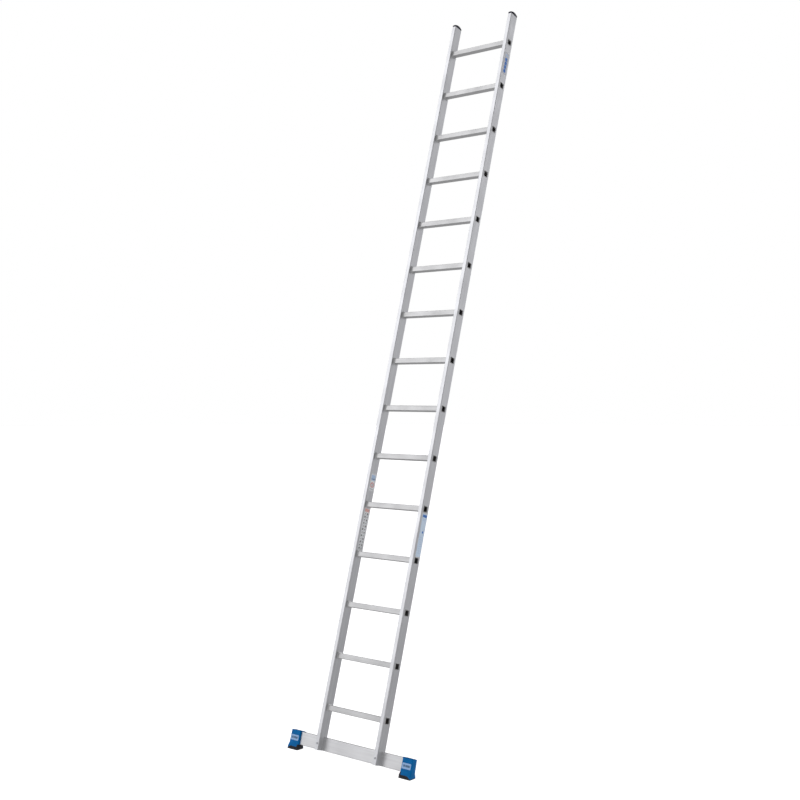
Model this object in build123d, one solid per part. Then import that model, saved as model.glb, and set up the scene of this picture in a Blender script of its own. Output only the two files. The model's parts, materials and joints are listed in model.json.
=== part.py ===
from build123d import *
import os
from math import cos, radians, sin

# A single-section leaning ladder in aluminium, with a stabiliser bar let into the backs of the stiles
# and two-component foot caps on the bar's ends. All lengths are in millimetres.
#
# Every piece is drawn in the ladder's own frame: X across the ladder, Y from the climbing face (Y = 0)
# towards the wall, Z up along the stiles with Z = 0 on the axis of the lowest rung. The finished
# pieces are then leaned back and moved, so that the floor is Z = 0 and the origin is the middle of the
# bottom of the whole ladder's box. X = 0 is the ladder's middle plane.

# Ladder
LEAN = 73.5                 # angle between the stiles and the floor, in degrees
WIDTH = 435.0               # over the outer faces of the two stiles
RUNG_COUNT = 15
RUNG_PITCH = 280.0
TOP_REACH = 179.0           # from the top rung's axis to the top of the stiles
FOOT_REACH = 226.0          # from the lowest rung's axis to the bottom of the stiles

# Stiles: rectangular hollow extrusions
STILE_DEPTH = 60.0
STILE_THICK = 25.0
STILE_WALL = 1.6
STILE_RADIUS = 2.5

# Rungs: square tubes pushed through the stiles, upset on the inside and flared on the outside
RUNG_SIZE = 30.0
RUNG_WALL = 1.6
RUNG_RADIUS = 3.0
BEAD_SIZE = 37.0
BEAD_THICK = 3.0
BEAD_SLOPE = 3.0
FLANGE_SIZE = 37.0
FLANGE_THICK = 1.5
MOUTH_DEPTH = 4.0
RING_RADIUS = 6.0
TREAD_GROOVES = 6
TREAD_PITCH = 4.0
GROOVE_WIDTH = 1.6
GROOVE_DEPTH = 0.6

# Stabiliser bar: rectangular tube in a notch at the back of each stile, flush with its bottom
BAR_HIGH = 70.0
BAR_DEEP = 25.0
BAR_WALL = 2.0
BAR_RADIUS = 3.0
BAR_END = 423.0             # from the middle plane to the bar's end

# Bar bolts, one through each stile
BOLT_D = 8.0
BOLT_HOLE_D = 8.5
HEAD_D = 12.0
HEAD_HIGH = 2.4
HEAD_EDGE = 1.8
SOCKET_FLATS = 5.0
SOCKET_DEEP = 1.5
NUT_FLATS = 13.0
NUT_HIGH = 6.5
BOLT_TAIL = 3.0             # thread that stands out of the nut
WASHER_D = 17.0
WASHER_THICK = 1.6
SLEEVE_D = 13.0

# Feet: a blue cap over the bar's end, with a black rubber sole moulded into it
CAP_IN = 361.0              # from the middle plane to the top of the cap's inner side
CAP_OUT = 427.0             # and to the top of its outer end
CAP_FRONT = 25.0            # from the climbing face
CAP_TOP_WALL = 3.0
CAP_BACK_WALL = 3.0
CAP_FRONT_WALL = 3.0
CAP_RIB = 3.0               # ribs that hold the front wall off the bar
CAP_CORNER = 5.0            # rounding of the upright corners at the top
CAP_EDGE = 2.5              # rounding of the top edges
DRAFT = 2.0                 # how far each end leans out down to the shoulder
SHOULDER_Z = -222.0         # where the foot starts to widen
FLARE_X = 6.0               # how far it has widened at the parting, at each end
FLARE_Y = 4.0               # and at the front and the back
FOOT_CORNER = 8.0
PARTING_Z = -240.0          # where blue gives way to black
SOLE_Z = -258.0             # bottom edge of the sole at its front
SOLE_EDGE = 5.0
SOLE_STRIP = 3.5            # rubber left between the cap and the floor
PARTING_TURN = 412.0        # where the parting starts to slope down to the outer end
PARTING_END_Z = -254.0
CHEEK = 6.0                 # rubber at the inner side, up to the bar
TONGUE_LONG = 15.0
TONGUE_WIDE = 19.0
SCREW_D = 4.2
SCREW_HEAD_D = 9.0
SCREW_HEAD_HIGH = 2.6
SCREW_LONG = 16.0
SCREW_SLOT = 1.2

# Plain badge on the front of each cap
BADGE_WIDE = 56.0
BADGE_HIGH = 29.0
BADGE_THICK = 0.8
BADGE_RADIUS = 3.0
BADGE_Z = -193.5

# Top plugs
PLUG_HIGH = 20.0
PLUG_SKIRT = 25.0
PLUG_WALL = 2.0
PLUG_ARC_SIDE = 60.0        # radius of the domed top seen from the side
PLUG_ARC_FRONT = 30.0       # and from the front

# Labels on the stiles: first and last height, distance of the middle line from the climbing face
LABEL_THICK = 0.4
LABEL_WIDE = 40.0
LABEL_RADIUS = 2.0
INNER_LABEL_Y = 33.0
OUTER_LABEL_Y = 36.0
CARE_LABEL = (1200.0, 1296.0)
STEPS_LABEL = (864.0, 1098.0)
SIZE_LABEL = (862.0, 1096.0)
TOP_LABEL = (3714.0, 3852.0)

# Places that follow from the sizes above
STILE_X = WIDTH / 2 - STILE_THICK / 2
STILE_IN = WIDTH / 2 - STILE_THICK
RUNG_Y = STILE_DEPTH / 2
TOP_Z = (RUNG_COUNT - 1) * RUNG_PITCH + TOP_REACH
BAR_FRONT = STILE_DEPTH - BAR_DEEP
BAR_Y = STILE_DEPTH - BAR_DEEP / 2
BAR_Z = BAR_HIGH / 2 - FOOT_REACH
BAR_TOP = BAR_HIGH - FOOT_REACH
CAP_BACK = STILE_DEPTH + CAP_BACK_WALL
CAP_TOP = BAR_TOP + CAP_TOP_WALL
CAP_X = (CAP_IN + CAP_OUT) / 2
FOOT_IN = CAP_IN - FLARE_X
FOOT_OUT = CAP_OUT + FLARE_X
FOOT_FRONT = CAP_FRONT - FLARE_Y
FAR = 100.0                 # overshoot of the large cutting shapes
OVER = 1.0                  # and of the small ones


def along_x(sketch, start, stop):
    """Extrude a sketch drawn in (Y, Z) from X = start to X = stop."""
    return extrude(Plane.YZ.offset(start) * sketch, stop - start)


def along_y(sketch, start, stop):
    """Extrude a sketch drawn in (X, Z) from Y = start to Y = stop."""
    return Pos(0, start, 0) * extrude(Plane.XZ * sketch, start - stop)


def along_z(sketch, start, stop):
    """Extrude a sketch drawn in (X, Y) from Z = start to Z = stop."""
    return Pos(0, 0, start) * extrude(sketch, stop - start)


def block(x_range, y_range, z_range):
    """Box between two X, two Y and two Z values."""
    size = [high - low for low, high in (x_range, y_range, z_range)]
    middle = [(high + low) / 2 for low, high in (x_range, y_range, z_range)]
    return Pos(*middle) * Box(*size)


def rounded_square(size, radius):
    """Square section of a rung, about its axis."""
    return RectangleRounded(size, size, radius)


def flare_x(near, near_size, far, far_size, radius):
    """Rounded square prism along X that grows from near_size to far_size."""
    first = Plane.YZ.offset(near) * rounded_square(near_size, radius)
    last = Plane.YZ.offset(far) * rounded_square(far_size, radius)
    return loft([first, last])


def mirrored(piece):
    """The same piece on the ladder's other side."""
    return mirror(piece, about=Plane.YZ)


def rung_heights():
    """Height of every rung's axis."""
    return [index * RUNG_PITCH for index in range(RUNG_COUNT)]


def stile():
    """Right stile: hollow extrusion with rung holes, a notch for the bar and a bolt hole."""
    outer = Pos(STILE_X, RUNG_Y) * RectangleRounded(STILE_THICK, STILE_DEPTH, STILE_RADIUS)
    inner = Pos(STILE_X, RUNG_Y) * Rectangle(STILE_THICK - 2 * STILE_WALL, STILE_DEPTH - 2 * STILE_WALL)
    body = along_z(outer - inner, -FOOT_REACH, TOP_Z)
    hole = along_x(rounded_square(RUNG_SIZE, RUNG_RADIUS), STILE_IN - OVER, WIDTH / 2 + OVER)
    for height in rung_heights():
        body -= Pos(0, RUNG_Y, height) * hole
    notch_depth = (BAR_FRONT, STILE_DEPTH + OVER)
    body -= block((STILE_IN - OVER, WIDTH / 2 + OVER), notch_depth, (-FOOT_REACH - OVER, BAR_TOP))
    body -= along_y(Pos(STILE_X, BAR_Z) * Circle(BOLT_HOLE_D / 2), -OVER, STILE_WALL + OVER)
    return body


def rung_end():
    """What the two ends of a rung add to its tube: the inner bead and the outer flange."""
    bead_start = STILE_IN - BEAD_THICK
    bead = along_x(rounded_square(BEAD_SIZE, RING_RADIUS), bead_start, STILE_IN)
    bead += flare_x(bead_start - BEAD_SLOPE, RUNG_SIZE, bead_start, BEAD_SIZE, RUNG_RADIUS)
    flange_size = FLANGE_SIZE - 2 * FLANGE_THICK
    flange = flare_x(WIDTH / 2, FLANGE_SIZE, WIDTH / 2 + FLANGE_THICK, flange_size, RING_RADIUS)
    return bead + flange


def rung():
    """Square tube with a grooved tread, fixed in the stiles by a bead and a flange at each end."""
    end = WIDTH / 2 + FLANGE_THICK
    bore_size = RUNG_SIZE - 2 * RUNG_WALL
    bore_radius = RUNG_RADIUS - RUNG_WALL
    body = along_x(rounded_square(RUNG_SIZE, RUNG_RADIUS), -end, end)
    body += rung_end()
    body += mirrored(rung_end())
    body -= along_x(rounded_square(bore_size, bore_radius), -end - OVER, end + OVER)
    mouth = flare_x(end - MOUTH_DEPTH, bore_size, end, RUNG_SIZE, bore_radius)
    body -= mouth
    body -= mirrored(mouth)
    tread = STILE_IN - BEAD_THICK - BEAD_SLOPE
    for index in range(TREAD_GROOVES):
        groove_y = (index - (TREAD_GROOVES - 1) / 2) * TREAD_PITCH
        groove = Pos(groove_y, RUNG_SIZE / 2) * Rectangle(GROOVE_WIDTH, 2 * GROOVE_DEPTH)
        body -= along_x(groove, -tread, tread)
    return body


def bar_outline():
    """Outer section of the stabiliser bar, in (Y, Z)."""
    return Pos(BAR_Y, BAR_Z) * RectangleRounded(BAR_DEEP, BAR_HIGH, BAR_RADIUS)


def stabiliser_bar():
    """Rectangular tube across the bottom, drilled for the two bolts and the two cap screws."""
    bore = Rectangle(BAR_DEEP - 2 * BAR_WALL, BAR_HIGH - 2 * BAR_WALL)
    body = along_x(bar_outline() - Pos(BAR_Y, BAR_Z) * bore, -BAR_END, BAR_END)
    back = STILE_DEPTH + OVER
    for side in (-1, 1):
        bolt_hole = Pos(side * STILE_X, BAR_Z) * Circle(BOLT_HOLE_D / 2)
        body -= along_y(bolt_hole, BAR_FRONT - OVER, back)
        screw_hole = Pos(side * CAP_X, BAR_Z) * Circle(SCREW_D / 2)
        body -= along_y(screw_hole, STILE_DEPTH - BAR_WALL - OVER, back)
    return body


def foot_section(height, ends, faces, radius):
    """Rounded rectangle of a foot at a height, wider than the cap's top by ends and faces on every side."""
    width = CAP_OUT - CAP_IN + 2 * ends
    depth = CAP_BACK - CAP_FRONT + 2 * faces
    return Pos(CAP_X, (CAP_FRONT + CAP_BACK) / 2, height) * RectangleRounded(width, depth, radius)


def above_floor(edge_radius, lift):
    """Everything above a plane parallel to the floor, with its bottom edges at the foot's ends rounded."""
    shape = Pos(CAP_X, SOLE_Z + lift + FAR) * RectangleRounded(FOOT_OUT - FOOT_IN, 2 * FAR, edge_radius)
    direction = Vector(0, sin(radians(LEAN)), cos(radians(LEAN)))
    plane = Plane(origin=(0, FOOT_FRONT, 0), x_dir=(1, 0, 0), z_dir=(0, -1, 0))
    slab = extrude(plane * shape, FAR, dir=direction)
    return slab + extrude(plane * shape, FAR, dir=-direction)


def foot_body():
    """Outer shape of a right foot, cap and sole together."""
    top = foot_section(CAP_TOP, 0, 0, CAP_CORNER)
    shoulder = foot_section(SHOULDER_Z, DRAFT, 0, CAP_CORNER)
    parting = foot_section(PARTING_Z, FLARE_X, FLARE_Y, FOOT_CORNER)
    body = loft([shoulder, top], ruled=True)
    body += loft([parting, shoulder], ruled=True)
    body += extrude(parting, SOLE_Z - PARTING_Z - OVER)
    body = fillet(body.faces().sort_by(Axis.Z)[-1].edges(), CAP_EDGE)
    return body & above_floor(SOLE_EDGE, 0)


def below_parting():
    """Everything below the parting, which slopes down towards the foot's outer end."""
    points = [
        (FOOT_IN - OVER, PARTING_Z),
        (PARTING_TURN, PARTING_Z),
        (FOOT_OUT + OVER, PARTING_END_Z),
        (FOOT_OUT + OVER, SOLE_Z - FAR),
        (FOOT_IN - OVER, SOLE_Z - FAR),
    ]
    return along_y(make_face(Polyline(points, close=True)), 0, FAR)


def foot_sole():
    """Right sole: the black rubber tread, the cheek at the inner side and the pad under the bar."""
    heights = (SOLE_Z - FAR, -FOOT_REACH)
    strip = block((FOOT_IN - OVER, FOOT_OUT + OVER), (0, FAR), heights)
    strip -= above_floor(SOLE_EDGE, SOLE_STRIP)
    cheek = block((FOOT_IN - OVER, CAP_IN + CHEEK), (0, FAR), heights)
    pad = block((FOOT_IN - OVER, BAR_END), (BAR_FRONT, STILE_DEPTH), (PARTING_Z - OVER, -FOOT_REACH))
    return foot_body() & (below_parting() + strip + cheek + pad)


def cap_hollows():
    """The hollows between the cap's front wall and the bar, with a rib between them."""
    heights = (CAP_RIB - FOOT_REACH, BAR_TOP - CAP_RIB)
    depths = (CAP_FRONT + CAP_FRONT_WALL, BAR_FRONT + OVER)
    inner = block((CAP_IN + CAP_RIB, CAP_X - CAP_RIB / 2), depths, heights)
    return inner + block((CAP_X + CAP_RIB / 2, BAR_END - CAP_RIB), depths, heights)


def foot_cap():
    """Right cap: a moulded shell over the bar's end, with a short tongue on the bar's top."""
    body = foot_body() - foot_sole()
    body -= along_x(bar_outline(), CAP_IN - FAR, BAR_END)
    body -= block((CAP_IN - FAR, BAR_END), (BAR_FRONT, STILE_DEPTH), (-FOOT_REACH - OVER, BAR_Z))
    body -= cap_hollows()
    tongue = block(
        (CAP_IN - TONGUE_LONG, CAP_IN + CAP_CORNER),
        (BAR_Y - TONGUE_WIDE / 2, BAR_Y + TONGUE_WIDE / 2),
        (BAR_TOP, CAP_TOP),
    )
    body += tongue
    body -= along_y(Pos(CAP_X, BAR_Z) * Circle(SCREW_D / 2), STILE_DEPTH - OVER, CAP_BACK + OVER)
    return body


def foot_badge():
    """Right badge: a plain plate on the front of the cap."""
    plate = Pos(CAP_X, BADGE_Z) * RectangleRounded(BADGE_WIDE, BADGE_HIGH, BADGE_RADIUS)
    return along_y(plate, CAP_FRONT - BADGE_THICK, CAP_FRONT)


def cap_screw():
    """Right pan-head screw, through the back of the cap into the bar."""
    shank = along_y(Pos(CAP_X, BAR_Z) * Circle(SCREW_D / 2), CAP_BACK - SCREW_LONG, CAP_BACK)
    head = along_y(Pos(CAP_X, BAR_Z) * Circle(SCREW_HEAD_D / 2), CAP_BACK, CAP_BACK + SCREW_HEAD_HIGH)
    crown = head.faces().sort_by(Axis.Y)[-1].edges()
    slot = block(
        (CAP_X - SCREW_HEAD_D / 3, CAP_X + SCREW_HEAD_D / 3),
        (CAP_BACK + SCREW_HEAD_HIGH / 2, CAP_BACK + SCREW_HEAD_HIGH + OVER),
        (BAR_Z - SCREW_SLOT / 2, BAR_Z + SCREW_SLOT / 2),
    )
    turned_slot = Pos(CAP_X, 0, BAR_Z) * Rot(0, 90, 0) * Pos(-CAP_X, 0, -BAR_Z) * slot
    return shank + fillet(crown, SCREW_HEAD_HIGH / 2) - slot - turned_slot


def bolt():
    """Right bar bolt: low round head with a hexagon socket on the climbing face, thread out at the back."""
    centre = Pos(STILE_X, BAR_Z)
    tail = STILE_DEPTH + WASHER_THICK + NUT_HIGH + BOLT_TAIL
    shank = along_y(centre * Circle(BOLT_D / 2), 0, tail)
    head = along_y(centre * Circle(HEAD_D / 2), -HEAD_HIGH, 0)
    head = fillet(head.faces().sort_by(Axis.Y)[0].edges(), HEAD_EDGE)
    socket = centre * RegularPolygon(SOCKET_FLATS / 2, 6, major_radius=False)
    return shank + head - along_y(socket, -HEAD_HIGH - OVER, SOCKET_DEEP - HEAD_HIGH)


def ring(outer_d, inner_d, start, stop):
    """Ring about the right bolt's axis, from Y = start to Y = stop."""
    section = Pos(STILE_X, BAR_Z) * (Circle(outer_d / 2) - Circle(inner_d / 2))
    return along_y(section, start, stop)


def washer():
    """Washer under the right bolt's nut."""
    return ring(WASHER_D, BOLT_HOLE_D, STILE_DEPTH, STILE_DEPTH + WASHER_THICK)


def nut():
    """Hexagon nut on the right bolt."""
    centre = Pos(STILE_X, BAR_Z)
    hexagon = centre * RegularPolygon(NUT_FLATS / 2, 6, major_radius=False)
    section = hexagon - centre * Circle(BOLT_D / 2)
    start = STILE_DEPTH + WASHER_THICK
    return along_y(section, start, start + NUT_HIGH)


def sleeves():
    """Spacer sleeves of the right bolt, so that the hollow stile and bar aren't crushed."""
    in_stile = ring(SLEEVE_D, BOLT_HOLE_D, STILE_WALL, BAR_FRONT)
    in_bar = ring(SLEEVE_D, BOLT_HOLE_D, BAR_FRONT + BAR_WALL, STILE_DEPTH - BAR_WALL)
    return in_stile + in_bar


def top_plug():
    """Right top plug: domed head flush with the stile, and a hollow skirt pressed into it."""
    centre = Pos(STILE_X, RUNG_Y)
    top = TOP_Z + PLUG_HIGH
    head = along_z(centre * RectangleRounded(STILE_THICK, STILE_DEPTH, STILE_RADIUS), TOP_Z, top)
    head &= along_x(Pos(RUNG_Y, top - PLUG_ARC_SIDE) * Circle(PLUG_ARC_SIDE), STILE_IN, WIDTH / 2)
    head &= along_y(Pos(STILE_X, top - PLUG_ARC_FRONT) * Circle(PLUG_ARC_FRONT), 0, STILE_DEPTH)
    inside = (STILE_THICK - 2 * STILE_WALL, STILE_DEPTH - 2 * STILE_WALL)
    skirt = centre * (Rectangle(*inside) - Rectangle(*(size - 2 * PLUG_WALL for size in inside)))
    return head + along_z(skirt, TOP_Z - PLUG_SKIRT, TOP_Z)


def label(face_x, middle_y, heights):
    """Thin label on a stile's side, standing out from face_x towards +X."""
    low, high = heights
    outline = Pos(middle_y, (low + high) / 2) * RectangleRounded(LABEL_WIDE, high - low, LABEL_RADIUS)
    return along_x(outline, face_x, face_x + LABEL_THICK)


def both_sides(piece):
    """A right piece and its mirror image as one group of separate solids."""
    return piece + mirrored(piece)


def build_pieces():
    """Every piece of the ladder by name, in the ladder's own frame."""
    pieces = {
        "stabiliser_bar": stabiliser_bar(),
        "bar_bolts": both_sides(bolt()),
        "bar_washers": both_sides(washer()),
        "bar_nuts": both_sides(nut()),
        "bolt_sleeves": both_sides(sleeves()),
        "cap_screws": both_sides(cap_screw()),
        "care_label": label(-STILE_IN, INNER_LABEL_Y, CARE_LABEL),
        "steps_label": label(-STILE_IN, INNER_LABEL_Y, STEPS_LABEL),
        "size_label": label(WIDTH / 2, OUTER_LABEL_Y, SIZE_LABEL),
        "top_label": label(WIDTH / 2, RUNG_Y, TOP_LABEL),
    }
    handed = {
        "stile": stile(),
        "foot_cap": foot_cap(),
        "foot_sole": foot_sole(),
        "foot_badge": foot_badge(),
        "top_plug": top_plug(),
    }
    for name, piece in handed.items():
        pieces["right_" + name] = piece
        pieces["left_" + name] = mirrored(piece)
    one_rung = rung()
    for index, height in enumerate(rung_heights()):
        pieces[f"rung_{index + 1:02d}"] = Pos(0, RUNG_Y, height) * one_rung
    return pieces


def lean_and_place(pieces):
    """Lean every piece back, and put the middle of the bottom of the whole box at the origin."""
    leaned = {name: Rot(LEAN - 90, 0, 0) * piece for name, piece in pieces.items()}
    boxes = [piece.bounding_box() for piece in leaned.values()]
    front = min(box.min.Y for box in boxes)
    back = max(box.max.Y for box in boxes)
    floor = min(box.min.Z for box in boxes)
    print(f"moved by Y {-(front + back) / 2:.3f}, Z {-floor:.3f}")
    return {name: Pos(0, -(front + back) / 2, -floor) * piece for name, piece in leaned.items()}


def main():
    """Write one STEP file for every piece."""
    os.makedirs("parts", exist_ok=True)
    for name, piece in lean_and_place(build_pieces()).items():
        export_step(piece, f"parts/{name}.step")


if __name__ == "__main__":
    main()
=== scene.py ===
"""Looks of the leaning ladder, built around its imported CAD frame.

Sizes in the sub-assemblies are millimetres in the ladder's own axes: X across the
ladder, Y from the climbing face towards the wall, Z up along the stiles from the axis
of the lowest rung. LadderAxes carries them into the frame, which is in metres.
"""
import json
import logging
import math
from dataclasses import dataclass
from enum import Enum
from typing import Callable, Iterable, Sequence

import bmesh
import bpy
from mathutils import Matrix, Vector

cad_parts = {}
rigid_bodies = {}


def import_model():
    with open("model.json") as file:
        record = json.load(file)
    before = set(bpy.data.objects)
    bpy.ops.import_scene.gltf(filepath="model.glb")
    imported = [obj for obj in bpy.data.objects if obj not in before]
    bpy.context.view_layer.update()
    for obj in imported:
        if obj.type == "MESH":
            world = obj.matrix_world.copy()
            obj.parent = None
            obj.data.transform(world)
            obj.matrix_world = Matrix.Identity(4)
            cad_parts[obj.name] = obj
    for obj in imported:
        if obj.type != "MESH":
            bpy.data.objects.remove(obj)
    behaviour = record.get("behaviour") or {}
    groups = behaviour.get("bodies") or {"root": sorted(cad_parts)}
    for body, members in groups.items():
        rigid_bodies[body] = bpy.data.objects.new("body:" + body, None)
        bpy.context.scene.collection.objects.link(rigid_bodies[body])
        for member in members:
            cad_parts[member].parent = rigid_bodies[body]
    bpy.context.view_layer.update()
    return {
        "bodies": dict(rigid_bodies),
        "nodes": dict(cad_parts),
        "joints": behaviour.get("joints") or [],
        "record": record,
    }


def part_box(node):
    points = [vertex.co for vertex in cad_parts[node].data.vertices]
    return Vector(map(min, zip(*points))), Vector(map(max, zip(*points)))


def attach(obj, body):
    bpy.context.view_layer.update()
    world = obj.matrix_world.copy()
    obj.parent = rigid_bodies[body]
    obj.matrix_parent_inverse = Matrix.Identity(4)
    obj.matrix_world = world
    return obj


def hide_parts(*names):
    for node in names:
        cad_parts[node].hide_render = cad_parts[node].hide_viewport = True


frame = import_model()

BODY = "root"
MM = 0.001
SHARP = math.radians(40)

Colour = tuple[float, float, float]
Point = tuple[float, float, float]
Span = tuple[float, float]
Socket = bpy.types.NodeSocket
Mesh = bmesh.types.BMesh
Vert = bmesh.types.BMVert
Edge = bmesh.types.BMEdge
Face = bmesh.types.BMFace

ACROSS = Vector((1, 0, 0))
INWARD = Vector((0, 1, 0))
UP = Vector((0, 0, 1))
WHITE = (1.0, 1.0, 1.0, 1.0)
WHOLE = (0.0, 1.0)
NOISE_BODY = (0.3, 0.7)

# How near counts as the same place, in millimetres, and how much of a direction has to
# lie along an axis to count as level, flat or upright.
NEAR = 1.0
TOUCH = 1e-3
MERGE = 1e-4
ON_PLANE = 1e-5
LEVEL = 0.9
FLAT = 0.99
UPRIGHT = 0.6

log = logging.getLogger("ladder")


class Side(Enum):
    """Side of the ladder, as the sign of its X."""

    LEFT = -1
    RIGHT = 1

    @property
    def word(self) -> str:
        """The side's name as it stands in node names."""
        return self.name.lower()


class Run(Enum):
    """Direction in which a profile was drawn through its die."""

    ALONG_STILE = "Z"
    ACROSS = "X"


def middle(node: str) -> Vector:
    """Middle of a CAD node's box, in the frame."""
    low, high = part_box(node)
    return (low + high) / 2


@dataclass(frozen=True)
class LadderAxes:
    """Where the ladder's own axes stand in the frame."""

    origin: Vector
    tilt: float

    @classmethod
    def from_frame(cls, rung_depth: float) -> "LadderAxes":
        """Read the axes off the lowest and the highest rung.

        Args:
            rung_depth: distance of the rungs' axes from the climbing face.

        Returns:
            The axes, with their origin on the climbing face beside the lowest rung.
        """
        rungs = sorted(name for name in frame["nodes"] if name.startswith("rung_"))
        lowest, highest = middle(rungs[0]), middle(rungs[-1])
        along = highest - lowest
        tilt = math.atan2(-along.y, along.z)
        inward = Matrix.Rotation(tilt, 3, "X") @ INWARD
        return cls(lowest - inward * rung_depth * MM, tilt)

    def matrix(self) -> Matrix:
        """Matrix from the ladder's millimetres to the frame's metres."""
        turn = Matrix.Rotation(self.tilt, 4, "X")
        return Matrix.Translation(self.origin) @ turn @ Matrix.Scale(MM, 4)


@dataclass(frozen=True)
class Profile:
    """Sizes that several sub-assemblies share."""

    width: float = 435.0
    stile_depth: float = 60.0
    stile_thick: float = 25.0
    stile_wall: float = 1.6
    stile_radius: float = 2.5
    top: float = 4099.0
    foot_reach: float = 226.0
    bar_high: float = 70.0
    bar_front: float = 35.0
    bar_end: float = 423.0

    @property
    def stile_x(self) -> float:
        """Distance of a stile's middle from the ladder's middle plane."""
        return (self.width - self.stile_thick) / 2

    @property
    def inside(self) -> float:
        """Distance of a stile's inner side from the ladder's middle plane."""
        return self.width / 2 - self.stile_thick

    @property
    def bar_top(self) -> float:
        """Height of the stabiliser bar's upper face."""
        return self.bar_high - self.foot_reach


PROFILE = Profile()
AXES = LadderAxes.from_frame(PROFILE.stile_depth / 2)


# --------------------------------------------------------------------------- materials


@dataclass(frozen=True)
class Graph:
    """Thin builder around a node tree."""

    tree: bpy.types.NodeTree

    @classmethod
    def blank(cls, name: str) -> tuple[bpy.types.Material, "Graph"]:
        """Start a material.

        Args:
            name: the material's name.

        Returns:
            The new material, and a builder on its empty node tree.
        """
        material = bpy.data.materials.new(name)
        material.use_nodes = True
        material.node_tree.nodes.clear()
        return material, cls(material.node_tree)

    def add(self, kind: str, inputs: dict | None = None, **settings: object) -> bpy.types.Node:
        """Add a node.

        Args:
            kind: the node's type without its Shader prefix.
            inputs: sockets by name or index; a socket is linked, a value is set.
            **settings: properties of the node itself.

        Returns:
            The new node.
        """
        node = self.tree.nodes.new("ShaderNode" + kind)
        for key, value in settings.items():
            setattr(node, key, value)
        for key, value in (inputs or {}).items():
            if isinstance(value, bpy.types.NodeSocket):
                self.tree.links.new(value, node.inputs[key])
            else:
                node.inputs[key].default_value = value
        return node

    def place(self) -> Socket:
        """Read where a point is on the ladder.

        Returns:
            The position in millimetres, in the ladder's own axes.
        """
        here = self.add("TexCoord").outputs["Object"]
        inputs = {"Vector": here, "Location": AXES.origin, "Rotation": (AXES.tilt, 0, 0),
                  "Scale": (MM,) * 3}
        return self.add("Mapping", inputs, vector_type="TEXTURE").outputs[0]

    def stretched(self, place: Socket, scale: Sequence[float]) -> Socket:
        """Position scaled differently along each axis."""
        return self.add("Mapping", {"Vector": place, "Scale": scale}).outputs[0]

    def noise(self, place: Socket, scale: float, detail: float = 2.0, rough: float = 0.5) -> Socket:
        """Noise value from 0 to 1."""
        inputs = {"Vector": place, "Scale": scale, "Detail": detail, "Roughness": rough}
        return self.add("TexNoise", inputs).outputs[0]

    def range(self, value: Socket, source: Span, target: Span, easing: str = "LINEAR") -> Socket:
        """Carry a value from one span to another, and hold it inside.

        Args:
            value: what is carried over.
            source: the span that it comes from.
            target: the span that it is carried to.
            easing: how it runs between the two ends.

        Returns:
            The new value.
        """
        ends = ("From Min", "From Max", "To Min", "To Max")
        inputs = {"Value": value, **dict(zip(ends, (*source, *target)))}
        return self.add("MapRange", inputs, interpolation_type=easing).outputs[0]

    def maths(self, operation: str, first: object, second: object = 0.0) -> Socket:
        """Result of a Math node."""
        return self.add("Math", {0: first, 1: second}, operation=operation).outputs[0]

    def mix(self, share: object, first: object, second: object) -> Socket:
        """Mix two colours.

        Args:
            share: how much of the second there is, from 0 to 1.
            first: a colour or a colour socket.
            second: a colour or a colour socket.

        Returns:
            The mixed colour.
        """
        colours = [(*c, 1.0) if isinstance(c, tuple) else c for c in (first, second)]
        inputs = {0: share, 6: colours[0], 7: colours[1]}
        return self.add("Mix", inputs, data_type="RGBA").outputs[2]

    def bump(self, height: Socket, strength: float, distance: float) -> Socket:
        """Normal from a height, with its depth in millimetres."""
        inputs = {"Height": height, "Strength": strength, "Distance": distance * MM}
        return self.add("Bump", inputs).outputs[0]

    def finish(self, **inputs: object) -> None:
        """Close the tree with a Principled shader.

        Args:
            **inputs: the shader's sockets, with underscores for spaces.
        """
        named = {key.replace("_", " "): value for key, value in inputs.items()}
        base = named.get("Base Color")
        if isinstance(base, tuple):
            named["Base Color"] = (*base, 1.0)
        shader = self.add("BsdfPrincipled", named)
        self.add("OutputMaterial", {"Surface": shader.outputs[0]})


class Finish:
    """Base of every finish: one material, made once and shared."""

    name: str

    def material(self) -> bpy.types.Material:
        """The finish's material."""
        made = bpy.data.materials.get(self.name)
        return made or self.build()

    def build(self) -> bpy.types.Material:
        """Make the material."""
        raise NotImplementedError


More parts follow.
